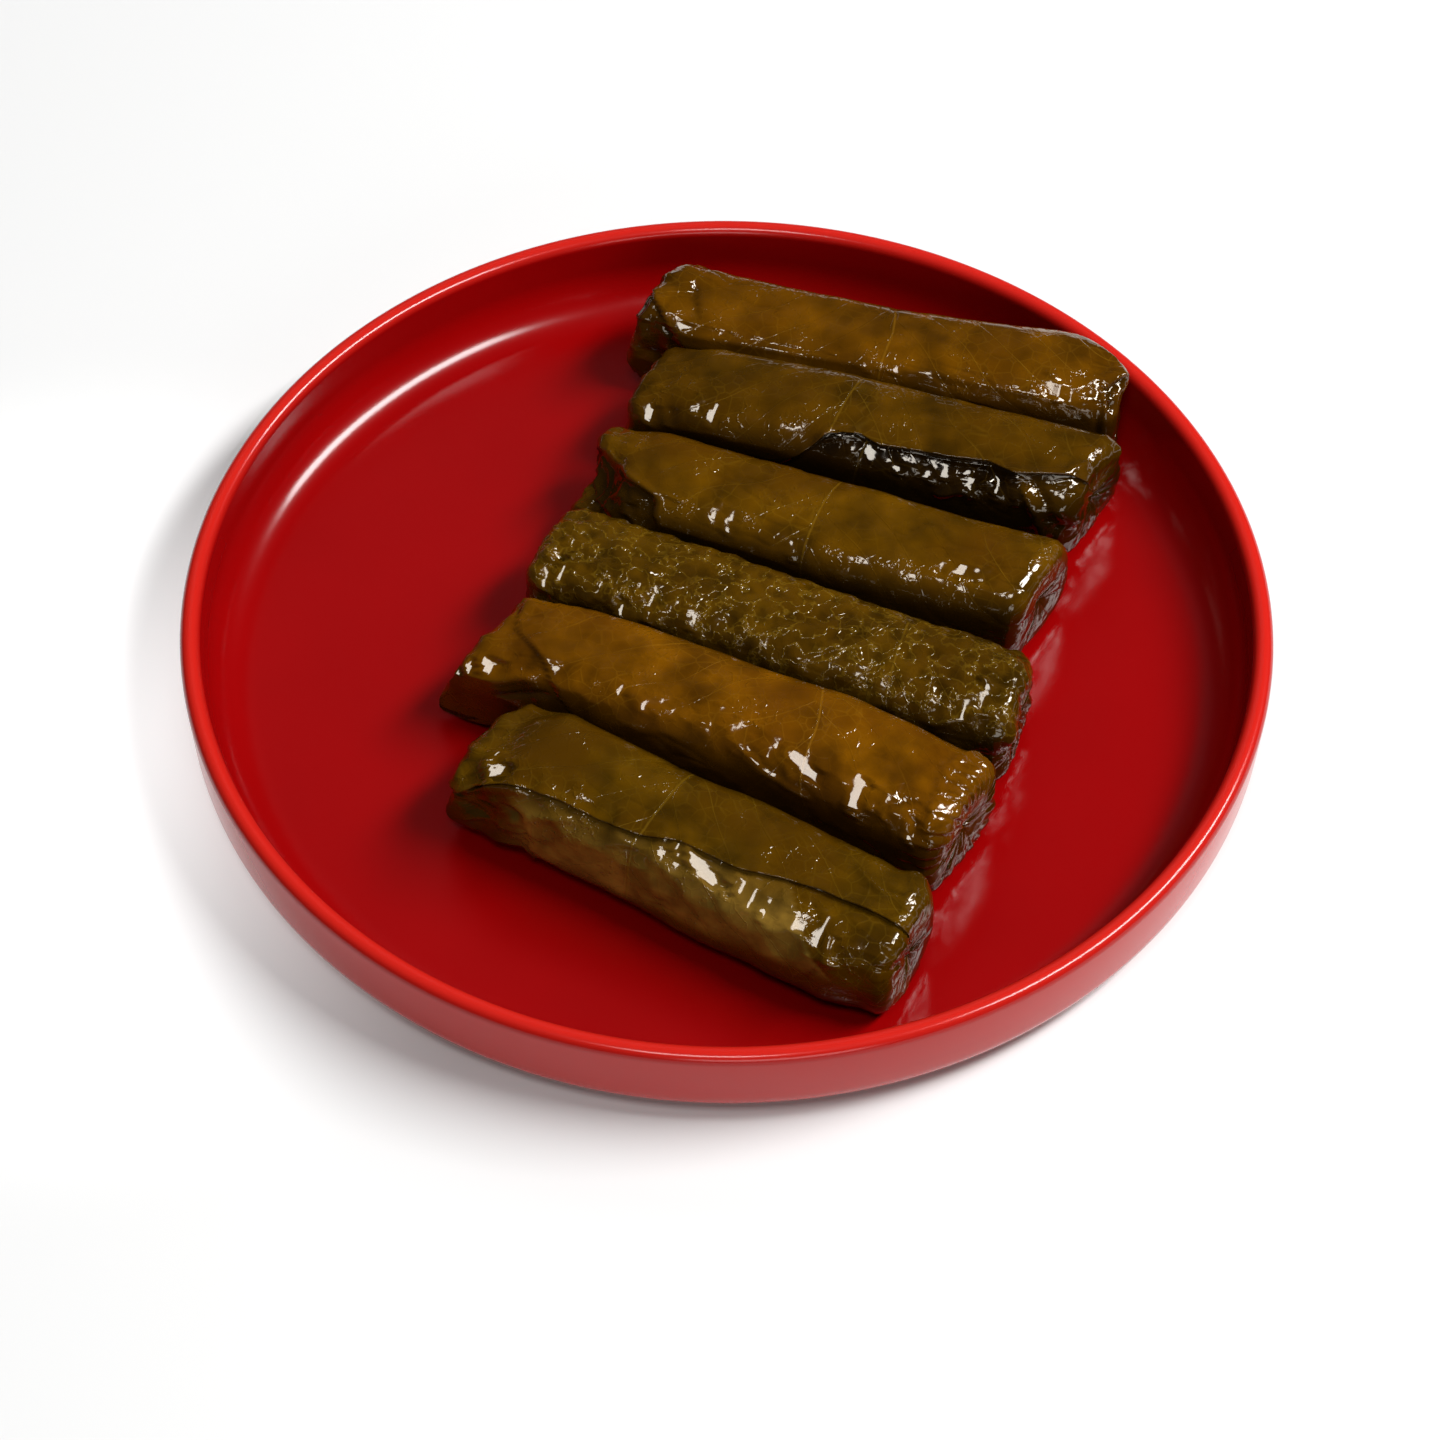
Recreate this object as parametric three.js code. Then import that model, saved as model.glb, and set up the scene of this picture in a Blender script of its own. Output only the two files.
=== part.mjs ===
// A round red plate with six stuffed grape leaf rolls lying side by side on it.
// Millimetres, +Z up. The origin is on the surface that the plate stands on, under its centre.
// Each roll is a rice-filled cigar in a wrapped vine leaf: a rounded square section, blunt
// tucked ends, and the leaf's free margin showing as a low step along the front.

import * as THREE from 'three';

// Plate
const PLATE_RADIUS = 100;
const PLATE_HEIGHT = 20;
const FLOOR_TOP = 4;
const RIM_THICKNESS = 3.8;
const OUTER_CORNER = 7;
const OUTER_LEAN = 0.8;
const INNER_CORNER = 8.5;
const INNER_LEAN = 0.6;
const UNDERSIDE = 1;
const RECESS = 1.2;
const FOOT_INNER_RADIUS = 62;
const FOOT_WIDTH = 4;
const FOOT_CHAMFER = 1;
const PLATE_SEGMENTS = 60;

// Gaps that keep neighbouring pieces apart
const CONTACT_GAP = 0.3;

// Rolls: the mesh grid, the section and the folded ends. The belly is how much wider a roll's
// foot is than its top.
const AROUND = 24;
const ALONG = 27;
const CAP_ROWS = 5;
const SECTION_POWER = 3;
const END_ROUNDING = 3.2;
const END_DIMPLE = 1.6;
const TUCK_REACH = 13;
const FOLD_IN = 12;
const MARGIN_OVERLAP = 0.012;
const UNEVENNESS = 0.3;
const BELLY = 0.1;

// Sizes at six stations along each roll, as parts of its length from the left end
const STATIONS = [0, 0.12, 0.35, 0.65, 0.88, 1];

// left and right are the middle of each end face in plan. bow pushes the middle of the roll
// back. A skew slants an end face. margin is where the leaf's free edge lies: places along the
// roll with their degrees from the back over the top. step is how high the edge stands. tucks
// and tuckDepth fold the leaf in at the left and right ends. pulls draw a fold of leaf out of
// the roll.
const ROLLS = [
  {
    name: 'roll_1',
    left: [-14.4, 77.4],
    right: [75.9, 54.9],
    bow: -1.3,
    skew: [0.33, 0],
    widths: [20.4, 20.9, 20.9, 21.5, 22.2, 20],
    heights: [21.5, 19.8, 19.7, 20.6, 21.6, 19.6],
    margin: [[0, 226], [93, 224]],
    step: [0.8, 0.8, 0.8, 0.8, 0.8, 0.8],
    tucks: [7, 5],
    tuckDepth: [0.1, 0.09],
    pulls: [{ at: [75, 55, 22], toward: [1, -0.5, 1.4], reach: 6 }],
    colour: 0x5a4a08,
  },
  {
    name: 'roll_2',
    left: [-16.4, 55],
    right: [69.6, 31],
    bow: -0.4,
    skew: [0.16, 0.26],
    widths: [20.2, 21.6, 22.1, 22.1, 22, 21.4],
    heights: [19.4, 21.6, 22.3, 21.6, 21, 20.4],
    margin: [
      [0, 168],
      [31, 166],
      [36, 143],
      [39, 127],
      [42, 123],
      [45, 121],
      [49, 126],
      [54, 124],
      [63, 122],
      [70, 118],
      [76, 124],
      [82, 118],
      [89, 110],
    ],
    step: [0.8, 0.9, 1.8, 2.4, 1.8, 1.2],
    tucks: [6, 6],
    tuckDepth: [0.08, 0.1],
    pulls: [{ at: [73, 36, 20], toward: [1.6, 0.8, 0.6], reach: 6 }],
    colour: 0x544a08,
  },
  {
    name: 'roll_3',
    left: [-26, 35.5],
    right: [58.9, 5.8],
    bow: -1,
    skew: [0.06, 0.2],
    widths: [19.4, 22.2, 22.3, 22.6, 22.5, 22],
    heights: [18.8, 21.2, 20.3, 20.5, 20, 20.2],
    margin: [[0, 222], [90, 224]],
    step: [0.8, 0.8, 0.8, 0.8, 0.8, 0.8],
    tucks: [5, 8],
    tuckDepth: [0.12, 0.06],
    pulls: [{ at: [-27, 29, 23], toward: [3.5, 1, -4.5], reach: 12 }],
    colour: 0x564609,
  },
  {
    name: 'roll_4',
    left: [-33.1, 14.3],
    right: [52.8, -21.8],
    bow: -0.1,
    skew: [0.06, -0.08],
    widths: [21, 20.8, 21, 21.8, 22.2, 20],
    heights: [18.6, 19.6, 19.2, 19, 19.2, 19.6],
    margin: [[0, 224], [93, 225]],
    step: [0.8, 0.8, 0.8, 0.8, 0.8, 0.8],
    tucks: [6, 6],
    tuckDepth: [0.07, 0.1],
    pulls: [{ at: [52, -29, 20], toward: [1.2, -0.8, -1.6], reach: 8 }],
    colour: 0x4d4a10,
  },
  {
    name: 'roll_5',
    left: [-42.5, -6.6],
    right: [43, -46.8],
    bow: 1.4,
    skew: [0.17, 0.12],
    widths: [22, 22.4, 23, 23.6, 23.6, 23.2],
    heights: [19, 20.8, 21.8, 22, 21.6, 20.6],
    margin: [[0, 222], [95, 224]],
    step: [0.9, 0.9, 0.9, 0.9, 0.9, 0.9],
    tucks: [5, 9],
    tuckDepth: [0.1, 0.08],
    pulls: [
      { at: [-44, -11, 15], toward: [-4, -1.5, -3], reach: 13 },
      { at: [-48, -13.5, 8], toward: [-5.5, -1.2, -2], reach: 9 },
    ],
    colour: 0x6e4606,
  },
  {
    name: 'roll_6',
    left: [-43.1, -31.1],
    right: [32.4, -74.4],
    bow: -0.1,
    skew: [0.11, -0.04],
    widths: [22.6, 23.2, 23.4, 24.2, 24.6, 20.8],
    heights: [17.6, 21.4, 20.8, 20.1, 20, 20.8],
    margin: [
      [0, 156],
      [3.2, 152],
      [6.5, 140],
      [14, 132],
      [21.5, 128],
      [29.4, 128],
      [37, 125],
      [44, 115],
      [55.7, 113],
      [64, 104],
      [70, 99],
      [77, 98],
      [87, 104],
    ],
    step: [1.3, 0.8, 0.7, 0.8, 0.7, 0.7],
    tucks: [5, 5],
    tuckDepth: [0.11, 0.09],
    pulls: [
      { at: [-46, -39, 10], toward: [-2.2, -1.2, 0.6], reach: 8 },
      { at: [33, -64, 21], toward: [0.6, 1, 1.8], reach: 6 },
    ],
    colour: 0x4a4510,
  },
];

const GLAZE_RED = 0xa60c10;

// Points of a round stretch in the plate's profile, from one angle to another in degrees
function arcPoints(centreX, centreY, radius, from, to, steps) {
  const points = [];
  for (let i = 0; i <= steps; i += 1) {
    const angle = THREE.MathUtils.degToRad(from + ((to - from) * i) / steps);
    points.push(new THREE.Vector2(
      centreX + radius * Math.cos(angle),
      centreY + radius * Math.sin(angle),
    ));
  }
  return points;
}

// The plate is one turned solid: recessed underside with a foot ring, upright wall with a
// rounded rim, and a rounded corner down to a flat floor.
function plateGeometry() {
  const rimRadius = RIM_THICKNESS / 2;
  const rimCentre = PLATE_RADIUS - rimRadius;
  const rimBase = PLATE_HEIGHT - rimRadius;
  const footOuterRadius = FOOT_INNER_RADIUS + FOOT_WIDTH;
  const outerCornerCentre = PLATE_RADIUS - OUTER_LEAN - OUTER_CORNER;
  const innerCornerCentre = PLATE_RADIUS - RIM_THICKNESS - INNER_LEAN - INNER_CORNER;
  const profile = [
    new THREE.Vector2(0, RECESS),
    new THREE.Vector2(FOOT_INNER_RADIUS - FOOT_CHAMFER, RECESS),
    new THREE.Vector2(FOOT_INNER_RADIUS, 0),
    new THREE.Vector2(footOuterRadius, 0),
    new THREE.Vector2(footOuterRadius + FOOT_CHAMFER, UNDERSIDE),
    ...arcPoints(outerCornerCentre, UNDERSIDE + OUTER_CORNER, OUTER_CORNER, -90, 0, 4),
    ...arcPoints(rimCentre, rimBase, rimRadius, 0, 180, 6),
    ...arcPoints(innerCornerCentre, FLOOR_TOP + INNER_CORNER, INNER_CORNER, 0, -90, 5),
    new THREE.Vector2(0, FLOOR_TOP),
  ];
  const geometry = new THREE.LatheGeometry(profile, PLATE_SEGMENTS);
  geometry.rotateX(Math.PI / 2);
  return geometry;
}

// How far out a roll may reach at height z before it meets the plate's corner or wall
function insideOfPlate(z) {
  const cornerCentre = PLATE_RADIUS - RIM_THICKNESS - INNER_LEAN - INNER_CORNER;
  const chordError = 1 - Math.cos(Math.PI / PLATE_SEGMENTS);
  const rise = FLOOR_TOP + INNER_CORNER + CONTACT_GAP - z;
  if (rise <= 0) {
    return (cornerCentre + INNER_CORNER) * (1 - chordError) - CONTACT_GAP;
  }
  const reach = INNER_CORNER - CONTACT_GAP;
  const across = Math.sqrt(Math.max(reach * reach - rise * rise, 0));
  return (cornerCentre + across) * (1 - chordError) - CONTACT_GAP;
}

// A value given at the stations, eased from one station to the next
function atStation(values, u) {
  let index = 0;
  while (index < STATIONS.length - 2 && u > STATIONS[index + 1]) {
    index += 1;
  }
  const share = (u - STATIONS[index]) / (STATIONS[index + 1] - STATIONS[index]);
  return THREE.MathUtils.lerp(
    values[index],
    values[index + 1],
    THREE.MathUtils.smoothstep(share, 0, 1),
  );
}

// A value given at places along a roll, in straight lines from one place to the next
function atPlace(points, x) {
  let index = 0;
  while (index < points.length - 2 && x > points[index + 1][0]) {
    index += 1;
  }
  const [place, value] = points[index];
  const [nextPlace, nextValue] = points[index + 1];
  return THREE.MathUtils.mapLinear(x, place, nextPlace, value, nextValue);
}

// Slow swells that make each hand-rolled leaf a little uneven
function swell(seed, u, angle) {
  const alongWave = Math.sin(17 * u + seed * 2.1 + Math.sin(angle + seed));
  const crossWave = Math.sin(9 * u - seed * 1.3 + 2 * angle);
  return UNEVENNESS * (alongWave + crossWave);
}

// Signed distance from a point to the vertical plane halfway between two rolls
function distanceToParting(point, roll, neighbour) {
  const startX = (roll.left[0] + neighbour.left[0]) / 2;
  const startY = (roll.left[1] + neighbour.left[1]) / 2;
  const endX = (roll.right[0] + neighbour.right[0]) / 2;
  const endY = (roll.right[1] + neighbour.right[1]) / 2;
  const length = Math.hypot(endX - startX, endY - startY);
  const normal = new THREE.Vector2(-(endY - startY) / length, (endX - startX) / length);
  const distance = (point.x - startX) * normal.x + (point.y - startY) * normal.y;
  return { distance, normal };
}

// Presses a roll's point flat against the rolls beside it, the plate's wall and its floor
function pressIntoPlace(point, index) {
  const roll = ROLLS[index];
  for (const side of [-1, 1]) {
    const neighbour = ROLLS[index + side];
    if (neighbour) {
      const { distance, normal } = distanceToParting(point, roll, neighbour);
      const overlap = Math.max(CONTACT_GAP / 2 - side * distance, 0);
      point.x += side * overlap * normal.x;
      point.y += side * overlap * normal.y;
    }
  }
  point.z = Math.max(point.z, FLOOR_TOP + CONTACT_GAP);
  const reach = Math.hypot(point.x, point.y);
  const limit = insideOfPlate(point.z);
  if (reach > limit) {
    point.x *= limit / reach;
    point.y *= limit / reach;
  }
  return point;
}

// One point of a roll's skin. u runs along it, wrap runs once round the leaf from its free
// margin over the top, and inward goes from 0 at the side of the roll to 1 at the middle of
// its end face. end is -1 at the left end, 1 at the right end and 0 between.
function skinPoint(index, u, wrap, inward, end) {
  const roll = ROLLS[index];
  const left = new THREE.Vector2(...roll.left);
  const right = new THREE.Vector2(...roll.right);
  const length = left.distanceTo(right);
  const along = right.clone().sub(left).divideScalar(length);
  const halfWidth = atStation(roll.widths, u) / 2;
  const halfHeight = atStation(roll.heights, u) / 2;

  const place = END_ROUNDING + u * (length - 2 * END_ROUNDING);

  const marginAngle = THREE.MathUtils.degToRad(atPlace(roll.margin, place));
  const angle = marginAngle - wrap * (1 - MARGIN_OVERLAP) * 2 * Math.PI;
  const squareness = 2 / SECTION_POWER;
  const cosine = Math.cos(angle);
  const sine = Math.sin(angle);
  const across = Math.sign(cosine) * Math.abs(cosine) ** squareness;
  const upward = Math.sign(sine) * Math.abs(sine) ** squareness;

  const side = u < 0.5 ? 0 : 1;
  const fromEnd = Math.min(u, 1 - u) * (length - 2 * END_ROUNDING);
  const folded = 1 - THREE.MathUtils.smoothstep(fromEnd, 0, TUCK_REACH);
  const fold = 0.5 + 0.5 * Math.cos(roll.tucks[side] * angle + index);
  const tuck = 1 - roll.tuckDepth[side] * folded * fold;
  const growth = atStation(roll.step, u) * (0.5 - wrap) + swell(index, u, angle);

  const corner = Math.min(inward * 2, 1) * (Math.PI / 2);
  const rounding = 1 - (END_ROUNDING / halfWidth) * (1 - Math.cos(corner));
  const closing = 1 - Math.max(inward * 2 - 1, 0);
  const shrink = rounding * closing * tuck;
  const bulge = END_ROUNDING * Math.sin(corner)
    - END_DIMPLE * (1 - closing) ** 2
    - FOLD_IN * roll.tuckDepth[side] * fold * Math.sin(Math.PI * inward);

  const sag = 1 + BELLY * (1 - upward) / 2;
  const y = (halfWidth + growth) * across * shrink * sag;
  const skewAlong = roll.skew[0] * (1 - u) ** 3 + roll.skew[1] * u ** 3;
  const x = place + end * bulge + skewAlong * y;
  const bowed = y + roll.bow * 4 * u * (1 - u);
  const z = FLOOR_TOP + CONTACT_GAP + halfHeight + (halfHeight + growth) * upward * shrink;

  const point = new THREE.Vector3(
    roll.left[0] + along.x * x - along.y * bowed,
    roll.left[1] + along.y * x + along.x * bowed,
    z,
  );
  for (const pull of roll.pulls) {
    const anchor = new THREE.Vector3(...pull.at);
    const share = 1 - THREE.MathUtils.smoothstep(point.distanceTo(anchor), 0, pull.reach);
    point.addScaledVector(new THREE.Vector3(...pull.toward), share * share);
  }
  return pressIntoPlace(point, index);
}

// A roll's skin is a grid of rings from the left end's middle to the right end's middle
function rollGeometry(index) {
  const rings = [];
  for (let row = 1; row < CAP_ROWS; row += 1) {
    rings.push({ u: 0, inward: 1 - row / CAP_ROWS, end: -1 });
  }
  for (let row = 0; row < ALONG; row += 1) {
    rings.push({ u: row / (ALONG - 1), inward: 0, end: 0 });
  }
  for (let row = 1; row < CAP_ROWS; row += 1) {
    rings.push({ u: 1, inward: row / CAP_ROWS, end: 1 });
  }

  const points = [skinPoint(index, 0, 0, 1, -1)];
  for (const ring of rings) {
    for (let column = 0; column < AROUND; column += 1) {
      points.push(skinPoint(index, ring.u, column / (AROUND - 1), ring.inward, ring.end));
    }
  }
  points.push(skinPoint(index, 1, 0, 1, 1));

  const vertex = (ring, column) => 1 + ring * AROUND + (column % AROUND);
  const lastRing = rings.length - 1;
  const rightMiddle = points.length - 1;
  const triangles = [];
  for (let column = 0; column < AROUND; column += 1) {
    triangles.push(0, vertex(0, column), vertex(0, column + 1));
    for (let ring = 0; ring < lastRing; ring += 1) {
      const a = vertex(ring, column);
      const b = vertex(ring, column + 1);
      const c = vertex(ring + 1, column + 1);
      const d = vertex(ring + 1, column);
      triangles.push(a, c, b, a, d, c);
    }
    triangles.push(vertex(lastRing, column + 1), vertex(lastRing, column), rightMiddle);
  }

  const geometry = new THREE.BufferGeometry();
  geometry.setFromPoints(points);
  geometry.setIndex(triangles);
  geometry.computeVertexNormals();
  return geometry;
}

const model = new THREE.Group();

const plate = new THREE.Mesh(
  plateGeometry(),
  new THREE.MeshStandardMaterial({ color: GLAZE_RED, roughness: 0.15, metalness: 0 }),
);
plate.name = 'plate';
model.add(plate);

ROLLS.forEach((roll, index) => {
  const mesh = new THREE.Mesh(
    rollGeometry(index),
    new THREE.MeshStandardMaterial({ color: roll.colour, roughness: 0.3, metalness: 0 }),
  );
  mesh.name = roll.name;
  model.add(mesh);
});

export default model;
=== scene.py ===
import math

import bmesh
import bpy
import numpy as np
from mathutils import Matrix, Vector


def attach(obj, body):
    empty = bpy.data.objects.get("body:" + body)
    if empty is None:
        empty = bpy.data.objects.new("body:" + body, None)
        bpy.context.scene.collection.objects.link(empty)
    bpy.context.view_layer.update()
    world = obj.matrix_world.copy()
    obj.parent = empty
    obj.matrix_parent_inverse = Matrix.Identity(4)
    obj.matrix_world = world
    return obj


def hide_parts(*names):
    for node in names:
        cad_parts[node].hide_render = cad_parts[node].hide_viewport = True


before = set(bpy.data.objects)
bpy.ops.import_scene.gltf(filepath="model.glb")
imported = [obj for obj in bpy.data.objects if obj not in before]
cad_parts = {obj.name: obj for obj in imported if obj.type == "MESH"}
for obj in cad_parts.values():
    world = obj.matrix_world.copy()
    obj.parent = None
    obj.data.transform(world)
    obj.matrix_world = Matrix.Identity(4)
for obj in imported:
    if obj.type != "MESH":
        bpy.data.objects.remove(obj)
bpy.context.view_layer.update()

# Camera
# A long lens looks down on the plate from the front, turned by half a degree.
MM = 0.001
LENS = 100
SENSOR = 36
LOOK_DOWN = math.radians(51.75)
CAMERA_ROLL = math.radians(0.526)
CAMERA_DISTANCE = 740.6 * MM
AIM = Vector((-1.08, -11.45, 0)) * MM

camera_data = bpy.data.cameras.new("camera")
camera_data.lens = LENS
camera_data.sensor_width = SENSOR
camera = bpy.data.objects.new("camera", camera_data)
bpy.context.scene.collection.objects.link(camera)
looking = Vector((0, math.cos(LOOK_DOWN), -math.sin(LOOK_DOWN)))
tilt = Matrix.Rotation(math.pi / 2 - LOOK_DOWN, 4, "X") @ Matrix.Rotation(CAMERA_ROLL, 4, "Z")
camera.matrix_world = Matrix.Translation(AIM - looking * CAMERA_DISTANCE) @ tilt
bpy.context.scene.camera = camera
bpy.context.scene.view_settings.view_transform = "Standard"

# Floor and studio light
# The plate stands on a white sheet that glows, most round a spot at the plate's left: painted
# light that lifts the plate's shadow there. A long softbox on the right draws the bright arc in
# the plate's corner, a smaller one at the front makes the glints on the rolls, and dull ones fill
# in from the front, the back and above.
FLOOR_SIZE = 6
FLOOR_DROP = 0.2 * MM
ROOM_GLOW = 0.02
SHEET_WHITE = (0.64, 0.64, 0.637)
SHEET_GLOW = 0.03
# A glowing spot in the sheet at the plate's left: painted light.
SHEET_GLOW_SPOT = (-122, -20, 0)
SHEET_SPOT_GLOW = 0.62
SHEET_SPOT_REACH = 105


def sheet_material():
    material = bpy.data.materials.new("white_sheet")
    material.use_nodes = True
    nodes = material.node_tree.nodes
    links = material.node_tree.links
    shader = nodes["Principled BSDF"]
    place = nodes.new("ShaderNodeTexCoord")
    # Painted light: the sheet glows most at the glow spot and fades to its even glow further out.
    from_glow_spot = nodes.new("ShaderNodeVectorMath")
    from_glow_spot.operation = "DISTANCE"
    from_glow_spot.inputs[1].default_value = Vector(SHEET_GLOW_SPOT) * MM
    glow = nodes.new("ShaderNodeMapRange")
    glow.interpolation_type = "SMOOTHSTEP"
    glow.inputs["From Max"].default_value = SHEET_SPOT_REACH * MM
    glow.inputs["To Min"].default_value = SHEET_SPOT_GLOW
    glow.inputs["To Max"].default_value = SHEET_GLOW
    links.new(place.outputs["Object"], from_glow_spot.inputs[0])
    links.new(from_glow_spot.outputs["Value"], glow.inputs["Value"])
    links.new(glow.outputs["Result"], shader.inputs["Emission Strength"])
    shader.inputs["Base Color"].default_value = (*SHEET_WHITE, 1)
    shader.inputs["Roughness"].default_value = 0.6
    shader.inputs["Emission Color"].default_value = (1, 1, 1, 1)
    return material


def softbox(name, direction, distance, size, lengthwise, power):
    """A rectangular light that faces the plate, with its long side along lengthwise."""
    light_data = bpy.data.lights.new(name, "AREA")
    light_data.shape = "RECTANGLE"
    light_data.size, light_data.size_y = size
    light_data.energy = power
    light = bpy.data.objects.new(name, light_data)
    bpy.context.scene.collection.objects.link(light)
    backward = Vector(direction).normalized()
    upward = backward.cross(Vector(lengthwise)).normalized()
    sideways = upward.cross(backward)
    turn = Matrix((sideways, upward, backward)).transposed().to_4x4()
    light.matrix_world = Matrix.Translation(backward * distance) @ turn
    return light


bpy.ops.object.select_all(action="DESELECT")
bpy.ops.mesh.primitive_plane_add(size=FLOOR_SIZE, location=(0, 0, -FLOOR_DROP))
floor = bpy.context.object
floor.name = "floor"
bpy.ops.object.transform_apply()
floor.data.materials.append(sheet_material())

world = bpy.data.worlds.new("studio")
bpy.context.scene.world = world
world.use_nodes = True
world.node_tree.nodes["Background"].inputs["Color"].default_value = (1, 1, 1, 1)
world.node_tree.nodes["Background"].inputs["Strength"].default_value = ROOM_GLOW

softbox("key_softbox", (0.61, 0.05, 0.79), 1.56, (1.05, 0.3), (0.33, 0.67, -0.35), 37)
softbox("front_softbox", (-0.04, -0.42, 0.9), 1.9, (0.52, 0.36), (1, 0, 0), 9)
softbox("front_fill", (0.15, -0.9, 0.35), 2.4, (1.2, 0.8), (1, 0, 0), 11)
back_fill = softbox("back_fill", (-0.1, 0.78, 0.6), 2, (1, 1), (1, 0, 0), 9)
top_fill = softbox("top_fill", (-0.1, 0.1, 1), 2, (1.2, 1.2), (1, 0, 0), 3)
for fill in (back_fill, top_fill):
    fill.visible_glossy = False

# Plate
# The round plate is thrown in stoneware and dipped in a red glaze: a flat floor, a short
# upright wall with a rounded rim, and a foot ring round a shallow recess below.
PLATE_SEGMENTS = 256
PLATE_RADIUS = 100
PLATE_HEIGHT = 20
FLOOR_TOP = 4
RIM_THICKNESS = 3.8
OUTER_CORNER = 7
OUTER_LEAN = 0.8
INNER_CORNER = 8.5
INNER_LEAN = 0.6
UNDERSIDE = 1
RECESS = 1.2
FOOT_INNER_RADIUS = 62
FOOT_OUTER_RADIUS = 66
FOOT_CHAMFER = 1
RIM_ROUNDING = 1.88
GLAZE_RED = (0.24, 0.0005, 0.0009)
GLAZE_DEEP = (0.19, 0.0003, 0.0006)
# Paler red for the rim and the outside: partly thinner glaze, partly painted highlight on the rim
# and painted light on the outer wall.
GLAZE_THIN_AND_LIT = (0.46, 0.012, 0.007)


def edge_rings(mesh_object, radius, height):
    """Selects the ring of edges at a radius and a height, in edit mode."""
    mesh = bmesh.from_edit_mesh(mesh_object.data)
    for edge in mesh.edges:
        edge.select = all(
            abs(math.hypot(vertex.co.x, vertex.co.y) - radius * MM) < 0.02 * MM
            and abs(vertex.co.z - height * MM) < 0.02 * MM
            for vertex in edge.verts
        )
    bmesh.update_edit_mesh(mesh_object.data)


def draw_wall(from_radius, to_radius, rise):
    """Extrudes the selected ring of edges to a new radius and height."""
    bpy.ops.mesh.extrude_edges_move()
    ratio = to_radius / from_radius
    bpy.ops.transform.resize(value=(ratio, ratio, 1), center_override=(0, 0, 0))
    bpy.ops.transform.translate(value=(0, 0, rise * MM))


def glaze_material():
    material = bpy.data.materials.new("red_glaze")
    material.use_nodes = True
    nodes = material.node_tree.nodes
    links = material.node_tree.links
    shader = nodes["Principled BSDF"]
    place = nodes.new("ShaderNodeTexCoord")

    cloud = nodes.new("ShaderNodeTexNoise")
    cloud.inputs["Scale"].default_value = 28
    cloud.inputs["Detail"].default_value = 5
    depth = nodes.new("ShaderNodeMix")
    depth.data_type = "RGBA"
    depth.inputs["A"].default_value = (*GLAZE_DEEP, 1)
    depth.inputs["B"].default_value = (*GLAZE_RED, 1)
    links.new(place.outputs["Object"], cloud.inputs["Vector"])
    links.new(cloud.outputs["Fac"], depth.inputs["Factor"])

    # The rim's top and the outer wall are painted paler: partly thinner glaze, partly painted
    # highlight and light.
    split = nodes.new("ShaderNodeSeparateXYZ")
    lip = nodes.new("ShaderNodeMapRange")
    lip.inputs["From Min"].default_value = (PLATE_HEIGHT - 1.6) * MM
    lip.inputs["From Max"].default_value = PLATE_HEIGHT * MM
    lip.inputs["To Max"].default_value = 0.95
    flat = nodes.new("ShaderNodeVectorMath")
    flat.operation = "MULTIPLY"
    flat.inputs[1].default_value = (1, 1, 0)
    away = nodes.new("ShaderNodeVectorMath")
    away.operation = "LENGTH"
    behind = nodes.new("ShaderNodeMath")
    behind.operation = "MULTIPLY_ADD"
    behind.inputs[1].default_value = -1 / 3
    outside = nodes.new("ShaderNodeMapRange")
    outside.inputs["From Min"].default_value = (PLATE_RADIUS - 7) * MM
    outside.inputs["From Max"].default_value = (PLATE_RADIUS - 6) * MM
    outside.inputs["To Max"].default_value = 0.75
    either = nodes.new("ShaderNodeMath")
    either.operation = "MAXIMUM"
    thin_and_lit = nodes.new("ShaderNodeMix")
    thin_and_lit.data_type = "RGBA"
    thin_and_lit.inputs["B"].default_value = (*GLAZE_THIN_AND_LIT, 1)
    links.new(place.outputs["Object"], split.inputs["Vector"])
    links.new(split.outputs["Z"], lip.inputs["Value"])
    links.new(place.outputs["Object"], flat.inputs[0])
    links.new(flat.outputs["Vector"], away.inputs[0])
    links.new(split.outputs["Z"], behind.inputs[0])
    links.new(away.outputs["Value"], behind.inputs[2])
    links.new(behind.outputs["Value"], outside.inputs["Value"])
    links.new(lip.outputs["Result"], either.inputs[0])
    links.new(outside.outputs["Result"], either.inputs[1])
    links.new(either.outputs["Value"], thin_and_lit.inputs["Factor"])
    links.new(depth.outputs["Result"], thin_and_lit.inputs["A"])
    links.new(thin_and_lit.outputs["Result"], shader.inputs["Base Color"])

    ripple = nodes.new("ShaderNodeTexNoise")
    ripple.inputs["Scale"].default_value = 60
    ripple.inputs["Detail"].default_value = 2
    bump = nodes.new("ShaderNodeBump")
    bump.inputs["Strength"].default_value = 0.12
    bump.inputs["Distance"].default_value = 0.4 * MM
    links.new(place.outputs["Object"], ripple.inputs["Vector"])
    links.new(ripple.outputs["Fac"], bump.inputs["Height"])
    links.new(bump.outputs["Normal"], shader.inputs["Normal"])

    shader.inputs["Roughness"].default_value = 0.17
    shader.inputs["IOR"].default_value = 1.38
    return material


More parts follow.
